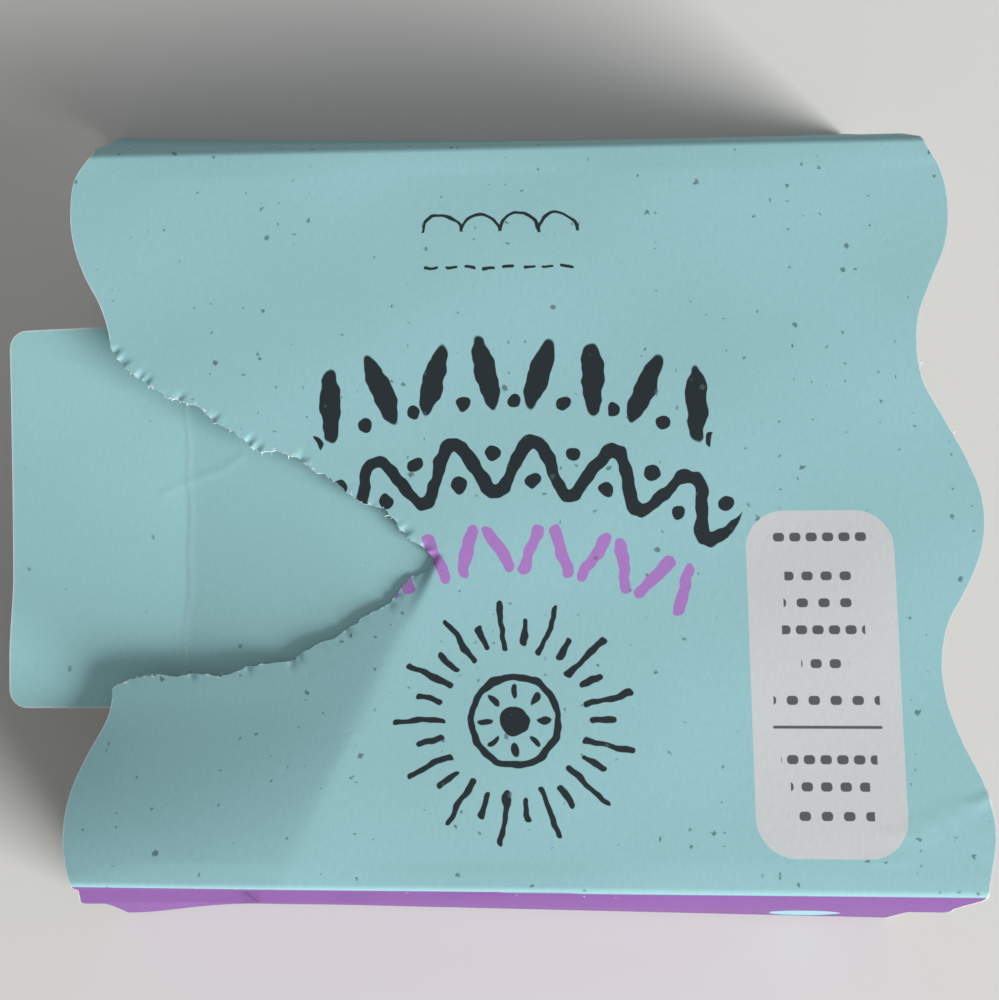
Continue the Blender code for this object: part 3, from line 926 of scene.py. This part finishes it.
# %% Bruises of the cut ends
NICK_PLACES = (0.0102, 0.0215)
BRUISE_SLIVERS = (7, 3, 4, 4)
BRUISE_SPREAD = 0.00022
BRUISE_SINK, BRUISE_LOWEST = 0.0002, 0.0005
BRUISE_LENGTH = (0.0003, 0.0007)
BRUISE_WIDTH = (0.00006, 0.00014)
front_corner = first_fold + FOLD_ROWS + WALL_ROWS + FOLD_ROWS // 2
back_corner = len(outer) - WALL_ROWS - FOLD_ROWS // 2 - 1
nicks = [first_top + int(np.argmin(np.abs(top_y[:, -1] - place))) for place in NICK_PLACES]
bruise_rows = np.repeat([*nicks, front_corner, back_corner], BRUISE_SLIVERS)
bruises = len(bruise_rows)
spread = chance.normal(0.0, BRUISE_SPREAD, (bruises, 3)) * [0.2, 1.0, 0.2]
bruise_roots = outer[bruise_rows, -1] + spread
bruise_roots[:, 2] = np.maximum(bruise_roots[:, 2] - BRUISE_SINK, BRUISE_LOWEST)
bruise_lean = chance.normal(0.0, 0.5, (bruises, 3)) * [0.3, 1.0, 0.3]
bruise_ways = unit(np.array([1.0, 0.0, 0.0]) + bruise_lean)
bruise_sides = unit(np.cross(bruise_ways, [0.0, 0.0, 1.0]))
sliver_points, sliver_faces = slivers(
    np.concatenate([roots, bruise_roots]), np.concatenate([ways, bruise_ways]),
    np.concatenate([sides, bruise_sides]),
    np.concatenate([lengths, chance.uniform(*BRUISE_LENGTH, bruises)]),
    np.concatenate([widths, chance.uniform(*BRUISE_WIDTH, bruises)]),
    np.concatenate([curls, 0.3 * chance.normal(0.0, 1.0, (bruises, 3))]),
)
fibres = mesh_object("torn_fibres", sliver_points, sliver_faces)
print("torn_fibres has", len(fibres.data.polygons), "faces")

# %% [markdown]
# ## The printed card
#
# The print is ink on the flat sheet, so every shape is worked out from the
# flat place (u, v) in millimetres: its distance to the shape's outline is
# found first, and the ink covers what lies inside.  Rows of shapes come from
# dividing a line into cells.  Three garlands are arcs round one centre, a
# sunburst sits below them, and a pale panel with bars stands at the right.
# The front wall has a second colour.  A slow noise moves the place a little
# before anything is drawn, so lines look drawn by hand.


# %% Shapes as distances
def length(a, b):
    """The root of the sum of two squares."""
    return (a * a + b * b).math("SQRT")


def bar_shape(a, b, half_length, half_width):
    """Distance to a bar with round ends that lies along b."""
    return length(a, (abs(b) - half_length).math("MAXIMUM", 0.0)) - half_width


def petal_shape(a, b, half_width, half_length):
    """Distance to an ellipse, good near its outline."""
    return (length(a / half_width, b / half_length) - 1.0) * half_width


def panel_shape(a, b, half_width, half_height, corner):
    """Distance to a rectangle with round corners."""
    over_a = (abs(a) - (half_width - corner)).math("MAXIMUM", 0.0)
    over_b = (abs(b) - (half_height - corner)).math("MAXIMUM", 0.0)
    return length(over_a, over_b) - corner


def turned(a, b, angle):
    """The place seen from axes that are turned by the angle."""
    cosine, sine = angle.math("COSINE"), angle.math("SINE")
    return a * cosine + b * sine, b * cosine - a * sine


def cells(value, pitch):
    """Which cell of a line a value lies in, and how far from that cell's middle."""
    number = (value / pitch).math("FLOOR")
    return number, value - (number + 0.5) * pitch


def around(u, v, centre_u, centre_v):
    """Distance from a centre, and the angle round it from straight up."""
    a, b = u - centre_u, v - centre_v
    return length(a, b), a.math("ARCTAN2", b)


def inked(distance, softness=0.07):
    """1 inside a shape and 0 outside it."""
    return distance.finish.ramp(distance, -softness, softness, 1.0, 0.0)


# %% The garlands
GARLAND_MIDDLE = (0.0, -60.0)
LEAF_RADIUS, LEAF_PITCH, LEAF_SIZE, LEAF_REACH = 81.0, 8.4, (1.75, 6.0), 33.6
LEAF_DOT, LEAF_DOT_BELOW, LEAF_LEAN = 1.15, 4.6, (0.55, 0.3, 0.0)
RIBBON_RADIUS, RIBBON_SWING, RIBBON_WAVE, RIBBON_HALF, RIBBON_REACH = 66.0, 4.0, 12.0, 1.0, 36.0
RIBBON_DOT, RIBBON_DOT_ASIDE = 1.2, 2.3
STROKE_RADIUS, STROKE_PITCH, STROKE_SIZE, STROKE_REACH = 53.0, 4.9, (3.3, 0.92), 29.4
STROKE_LEAN = (0.7, 0.4, 7.0)


def leaning_row(finish, arc, level, pitch, sway, wobble, seed):
    """A row along an arc: each cell's place, leaning left and right in turn and a little by chance."""
    cell, local = cells(arc, pitch)
    chance_of = finish.node("ShaderNodeTexWhiteNoise", {"W": cell + seed}, noise_dimensions="1D")
    lean = (cell.math("PINGPONG", 1.0) - 0.5) * sway + (chance_of - 0.5) * wobble
    return turned(local, level, lean)


def leaf_garland(finish, far, angle):
    """Leaves side by side along an arc, with a dot between the feet of each two."""
    arc, level = angle * LEAF_RADIUS, far - LEAF_RADIUS
    leaves = petal_shape(*leaning_row(finish, arc, level, LEAF_PITCH, *LEAF_LEAN), *LEAF_SIZE)
    between = arc - (arc / LEAF_PITCH).math("ROUND") * LEAF_PITCH
    dots = length(between, level + LEAF_DOT_BELOW) - LEAF_DOT
    return leaves.math("MINIMUM", dots).math("MAXIMUM", abs(arc) - LEAF_REACH)


def ribbon_garland(far, angle):
    """A wave along an arc, as wide across where it is steep, with a dot in each of its pockets."""
    arc, level = angle * RIBBON_RADIUS, far - RIBBON_RADIUS
    turn = 2 * pi / RIBBON_WAVE
    swing = (arc * turn).math("SINE") * RIBBON_SWING
    steep = (arc * turn).math("COSINE") * (RIBBON_SWING * turn)
    ribbon = abs(level - swing) / length(steep, steep * 0.0 + 1.0) - RIBBON_HALF
    pocket, local = cells(arc, RIBBON_WAVE / 2)
    side = (pocket.math("PINGPONG", 1.0) * 2.0 - 1.0) * RIBBON_DOT_ASIDE
    dots = length(local, level - side) - RIBBON_DOT
    return ribbon.math("MINIMUM", dots).math("MAXIMUM", abs(arc) - RIBBON_REACH)


def purple_print(finish, u, v):
    """Where the purple ink is on the top: one garland of short slanting strokes."""
    far, angle = around(u, v, *GARLAND_MIDDLE)
    arc, level = angle * STROKE_RADIUS, far - STROKE_RADIUS
    strokes = bar_shape(*leaning_row(finish, arc, level, STROKE_PITCH, *STROKE_LEAN), *STROKE_SIZE)
    return inked(strokes.math("MAXIMUM", abs(arc) - STROKE_REACH))


# %% The sunburst and the cloud line
SUN_MIDDLE = (-0.3, -33.4)
SUN_RAYS, RAY_MIDDLE, RAY_HALF, RAY_WIDTH = 26, (13.4, 1.2), (1.6, 2.0), 0.46
SUN_RING, SUN_RING_HALF, SUN_DISC = 6.6, 0.55, 2.2
SUN_PETALS, SUN_PETAL_PLACE, SUN_PETAL_SIZE = 8, 4.4, (0.5, 1.1)
CLOUD_MIDDLE, CLOUD_ARC, CLOUD_LINE, CLOUD_REACH = (-2.0, 44.2), 3.1, 0.27, 12.6
DASH_LEVEL, DASH_PITCH, DASH_SIZE, DASH_REACH = 38.4, 3.1, (0.75, 0.25), 12.4


def sunburst(u, v):
    """Distances to long and short rays in turn, and to a ring with small petals and a disc."""
    far, angle = around(u, v, *SUN_MIDDLE)
    slot = 2 * pi / SUN_RAYS
    number, off = cells(angle, slot)
    long_ray = number.math("PINGPONG", 1.0)
    middle, half = (long_ray * more + least for least, more in (RAY_MIDDLE, RAY_HALF))
    rays = bar_shape(far * off, far - middle, half, RAY_WIDTH)
    ring = (abs(far - SUN_RING) - SUN_RING_HALF).math("MINIMUM", far - SUN_DISC)
    _, off = cells(angle + pi / SUN_PETALS, 2 * pi / SUN_PETALS)
    petals = petal_shape(far * off, far - SUN_PETAL_PLACE, *SUN_PETAL_SIZE)
    return rays, ring.math("MINIMUM", petals)


def cloud_line(u, v):
    """Distances to a row of half circles and to a row of dashes below it."""
    from_middle, above = abs(u - CLOUD_MIDDLE[0]), v - CLOUD_MIDDLE[1]
    _, local = cells(from_middle, 2 * CLOUD_ARC)
    arcs = abs(length(local, above) - CLOUD_ARC) - CLOUD_LINE
    cloud = arcs.math("MAXIMUM", -above).math("MAXIMUM", from_middle - CLOUD_REACH)
    _, local = cells(from_middle, DASH_PITCH)
    dashes = bar_shape(v - DASH_LEVEL, local, *DASH_SIZE)
    return cloud, dashes.math("MAXIMUM", from_middle - DASH_REACH)


def black_print(finish, u, v):
    """Where the black ink is: two garlands, the sunburst and the small cloud line."""
    far, angle = around(u, v, *GARLAND_MIDDLE)
    ink = inked(leaf_garland(finish, far, angle))
    for shape in (ribbon_garland(far, angle), *sunburst(u, v), *cloud_line(u, v)):
        ink = ink.math("MAXIMUM", inked(shape))
    return ink


# %% The panel
PANEL_MIDDLE = (46.9, -27.4)
PANEL_SIZE = (11.3, 26.1, 5.9)
PANEL_LINE, PANEL_LINE_SIZE = -6.8, (8.2, 0.22, 0.2)
PANEL_DASH = (0.86, 0.68, 0.55)
PANEL_BARS = (
    (22.0, 7.9), (16.0, 5.6), (11.9, 5.9), (7.8, 6.3), (2.7, 3.6), (-2.8, 8.0),
    (-11.6, 7.2), (-15.6, 5.9), (-19.9, 6.4),
)


def panel_print(u, v):
    """The pale panel's outline, and the grey bars and the line on it."""
    a, b = u - PANEL_MIDDLE[0], v - PANEL_MIDDLE[1]
    outline = inked(panel_shape(a, b, *PANEL_SIZE))
    bars = inked(panel_shape(a, b - PANEL_LINE, *PANEL_LINE_SIZE))
    for number, (height, half_length) in enumerate(PANEL_BARS):
        _, local = cells(a + 0.7 * number, 2.5 + 0.4 * (number % 3))
        dash = panel_shape(local, b - height, *PANEL_DASH)
        bars = bars.math("MAXIMUM", inked(dash.math("MAXIMUM", abs(a) - half_length)))
    return outline, bars


# %% Specks, grain and board
SPECK = paint(70, 96, 97)
TEAL = paint(146, 191, 195)
# Painted light: the strip is the same card as the sleeve, and its teal is lighter than TEAL to paint it
# as more brightly lit.
LIT_STRIP_TEAL = paint(160, 209, 212)
PURPLE = paint(166, 120, 190)
WALL_PURPLE = paint(124, 83, 145)
BLACK = paint(37, 45, 49)
# The pale core, also used as the colour of the painted highlights.
CORE_AND_HIGHLIGHT = paint(214, 220, 220)
PANEL = paint(198, 201, 201)
PANEL_GREY = paint(86, 89, 92)
PALE_ROUGHER = 0.2
PRINT_SPECULAR = 0.18
RELIEF_DEPTH = 0.00006


def specks(finish, place, cloud, scale, rarity, size):
    """Dark flecks: the middle of some cells, of uneven size and with ragged outlines."""
    shaken = finish.move("ADD", place, finish.move("MULTIPLY", cloud, (1.1, 1.1, 0.0)))
    sockets = {"Vector": shaken, "Scale": scale}
    cell = finish.node("ShaderNodeTexVoronoi", sockets, voronoi_dimensions="2D")
    lot = finish.node("ShaderNodeSeparateColor", {"Color": cell.other(1)})
    radius = finish.ramp(lot, rarity, 1.0, -0.2, size)
    return finish.ramp(cell / scale - radius, -0.12, 0.14, 1.0, 0.0)


def mark(finish, name):
    """A number that the mesh carries at each point."""
    return finish.node("ShaderNodeAttribute", output=2, attribute_name=name)


def scaled(finish, colour, light):
    """A colour made lighter or darker by a number."""
    colour = colour if isinstance(colour, Value) else colour[:3]
    return finish.node("ShaderNodeVectorMath", {0: colour, "Scale": light}, operation="SCALE")


def paper_grain(finish, place, colour):
    """The colour with slow clouds and with fine mottling that runs a little along the fibres."""
    slow = finish.noise(place, 0.045, detail=1.0)
    fine = finish.noise(finish.move("MULTIPLY", place, (1.0, 0.35, 1.0)), 1.9, detail=3.0)
    return scaled(finish, colour, (slow - 0.5) * 0.08 + (fine - 0.5) * 0.12 + 1.0)


def finish_print(finish, place, pale_share, colour, roughness, relief_strength):
    """The last layers of a printed side: grain, the pale core and painted highlights, and the relief of
    pressed fibre.
    """
    finish.feed("Base Color", finish.mix(pale_share, paper_grain(finish, place, colour), CORE_AND_HIGHLIGHT))
    finish.feed("Roughness", pale_share * PALE_ROUGHER + roughness)
    finish.feed("Specular IOR Level", PRINT_SPECULAR)
    relief = finish.noise(place, 0.8, detail=3.0, roughness=0.6)
    sockets = {"Height": relief, "Strength": relief_strength, "Distance": RELIEF_DEPTH}
    finish.feed("Normal", finish.node("ShaderNodeBump", sockets))
    return finish.material


# %% [markdown]
# ## Putting the finishes together
#
# Ink goes on in the order of printing: the teal and purple fields, then the
# purple and black shapes, then the panel.  Specks, grain, wear and painted
# highlights come last.  Along a cut end a hair's width is painted pale as a
# highlight of the cut edge, at the tear the top ply has lifted in uneven
# flecks, and the two upper folds have a few cracks in the ink.  On the strip
# a line along the crease is painted pale as the crease's highlight.

# %% Wear that shows the board's pale core, and painted highlights at the cut ends
TOP_FOLD = 1000 * TOP_DEPTH / 2
FRONT_WALL = 47.2
SPOT_MIDDLE, SPOT_RADIUS = (49.0, -96.0), 5.8


def pale_core_and_highlights(finish, place, v):
    """1 where the pale core shows: flecks at the tear, cracks on the folds, and a painted highlight
    along cut ends.
    """
    chips = finish.noise(place, 1.0, detail=4.0, roughness=0.65)
    cut = mark(finish, "cut") + (chips - 0.5) * 0.3
    # Painted highlight: a pale band along each cut end.
    cut_highlight = finish.ramp(cut, 0.16, 0.34, 0.85, 0.0)
    lifted = finish.ramp(chips, 0.50, 0.80, 0.0, 0.9)
    flecks = inked(mark(finish, "torn") - lifted, 0.06)
    at_fold = finish.ramp(abs(abs(v) - TOP_FOLD - 0.3), 0.15, 0.9, 1.0, 0.0)
    crack = at_fold * finish.ramp(chips, 0.66, 0.72)
    return cut_highlight.math("MAXIMUM", flecks).math("MAXIMUM", crack)


def printed_card():
    """The sleeve's printed side."""
    finish = Finish("printed_card")
    place = finish.node("ShaderNodeUVMap", uv_map="flat_card")
    hand = finish.move("SUBTRACT", finish.noise(place, 0.32, detail=1.0, output=1), (0.5, 0.5, 0.5))
    shaky = finish.move("ADD", place, finish.move("MULTIPLY", hand, (1.5, 1.5, 0.0)))
    u = finish.node("ShaderNodeSeparateXYZ", {0: shaky})
    v = u.other(1)
    true_u = finish.node("ShaderNodeSeparateXYZ", {0: place})
    true_v = true_u.other(1)
    front = inked(abs(true_v + TOP_FOLD + FRONT_WALL / 2) - FRONT_WALL / 2, 0.12)
    spot = inked(length(u - SPOT_MIDDLE[0], v - SPOT_MIDDLE[1]) - SPOT_RADIUS)
    outline, bars = panel_print(true_u, true_v)
    colour = finish.mix(front * (1.0 - spot), TEAL, WALL_PURPLE)
    colour = finish.mix(purple_print(finish, u, v), colour, PURPLE)
    colour = finish.mix(black_print(finish, u, v), colour, BLACK)
    cloud = finish.noise(place, 1.6, detail=2.0, output=1)
    large = specks(finish, place, cloud, 0.13, 0.45, 0.42)
    flecks = large.math("MAXIMUM", specks(finish, place, cloud, 0.38, 0.66, 0.20))
    colour = finish.mix(flecks * 0.75 * (1.0 - front), colour, SPECK)
    colour = finish.mix(outline, colour, PANEL)
    colour = finish.mix(bars, colour, PANEL_GREY)
    pale_share = pale_core_and_highlights(finish, place, true_v)
    return finish_print(finish, place, pale_share, colour, 0.68, 0.25)


def strip_card():
    """The printed side of the strip and its flap: the teal lighter as painted light, with painted
    highlights along the crease and the cut edges.
    """
    finish = Finish("strip_card")
    place = finish.node("ShaderNodeUVMap", uv_map="flat_card")
    fray = finish.noise(place, 1.1, detail=3.0, output=1)
    flecks = specks(finish, place, fray, 0.14, 0.55, 0.34)
    colour = finish.mix(flecks * 0.5, LIT_STRIP_TEAL, SPECK)
    highlight_patch = finish.node("ShaderNodeSeparateColor", {"Color": fray})
    # Painted highlight along the crease's raised line, in patches.
    crease_highlight = finish.ramp(abs(mark(finish, "crease")), 0.05, 0.32, 0.24, 0.0)
    crease_highlight = crease_highlight * finish.ramp(highlight_patch, 0.38, 0.60)
    # Painted highlight along the strip's cut edges.
    cut_highlight = finish.ramp(mark(finish, "cut") + (highlight_patch - 0.5) * 0.25, 0.16, 0.34, 0.8, 0.0)
    pale_share = crease_highlight.math("MAXIMUM", cut_highlight)
    return finish_print(finish, place, pale_share, colour, 0.66, 0.2)


def plain_board(name, colour, contrast):
    """Unprinted board: pale pressed fibre with fine flecks."""
    finish = Finish(name)
    place = finish.node("ShaderNodeTexCoord", output=3)
    fibres_seen = finish.noise(place, 1400.0, detail=4.0, roughness=0.6)
    clouds = finish.noise(place, 60.0, detail=2.0)
    light = (fibres_seen - 0.5) * contrast + (clouds - 0.5) * 0.10 + 1.0
    finish.feed("Base Color", scaled(finish, colour, light))
    finish.feed("Roughness", fibres_seen * 0.1 + 0.8)
    sockets = {"Height": fibres_seen, "Strength": 0.3, "Distance": 0.00008}
    finish.feed("Normal", finish.node("ShaderNodeBump", sockets))
    return finish.material


board_inside = plain_board("board_inside", paint(196, 196, 188), 0.16)
board_edge = plain_board("board_edge", paint(220, 225, 225), 0.20)
for piece, printed in ((sleeve, printed_card()), (strip, strip_card())):
    for finish_of_face in (printed, board_inside, board_edge):
        piece.data.materials.append(finish_of_face)
fibres.data.materials.append(board_edge)
print("printed_card has", len(bpy.data.materials["printed_card"].node_tree.nodes), "nodes")

# %% [markdown]
# ## The floor
#
# A plain pale sheet, large enough for the object and its long shadow.  It ends
# well before the lamp, because the floor close to a lamp turns plain white.
# Its colour has a very slow unevenness, as painted board has.

# %% Floor
FLOOR_SIZE = 1.4
FLOOR_BELOW = 0.0002
floor_square = FLOOR_SIZE / 2 * np.array([(-1, -1, 0), (1, -1, 0), (1, 1, 0), (-1, 1, 0)])
floor_level = np.array([0.0, 0.0, cad_low.z - FLOOR_BELOW])
floor = mesh_object("floor", floor_square + floor_level, [(0, 1, 2, 3)])
floor_finish = Finish("pale_floor")
floor_place = floor_finish.node("ShaderNodeTexCoord", output=3)
floor_light = (floor_finish.noise(floor_place, 6.0) - 0.5) * 0.04 + 1.0
floor_finish.feed("Base Color", scaled(floor_finish, paint(205, 204, 201), floor_light))
floor_finish.feed("Roughness", 0.9)
floor_finish.feed("Specular IOR Level", 0.05)
floor.data.materials.append(floor_finish.material)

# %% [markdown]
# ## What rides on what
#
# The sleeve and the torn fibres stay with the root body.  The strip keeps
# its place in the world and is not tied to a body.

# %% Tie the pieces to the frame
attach(sleeve, "root")
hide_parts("sleeve")
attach(fibres, "root")
crease_height = float(strip_height(CREASE_X, STRIP_MID_Y))
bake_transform(strip)
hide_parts("inner_strip", "end_flap")
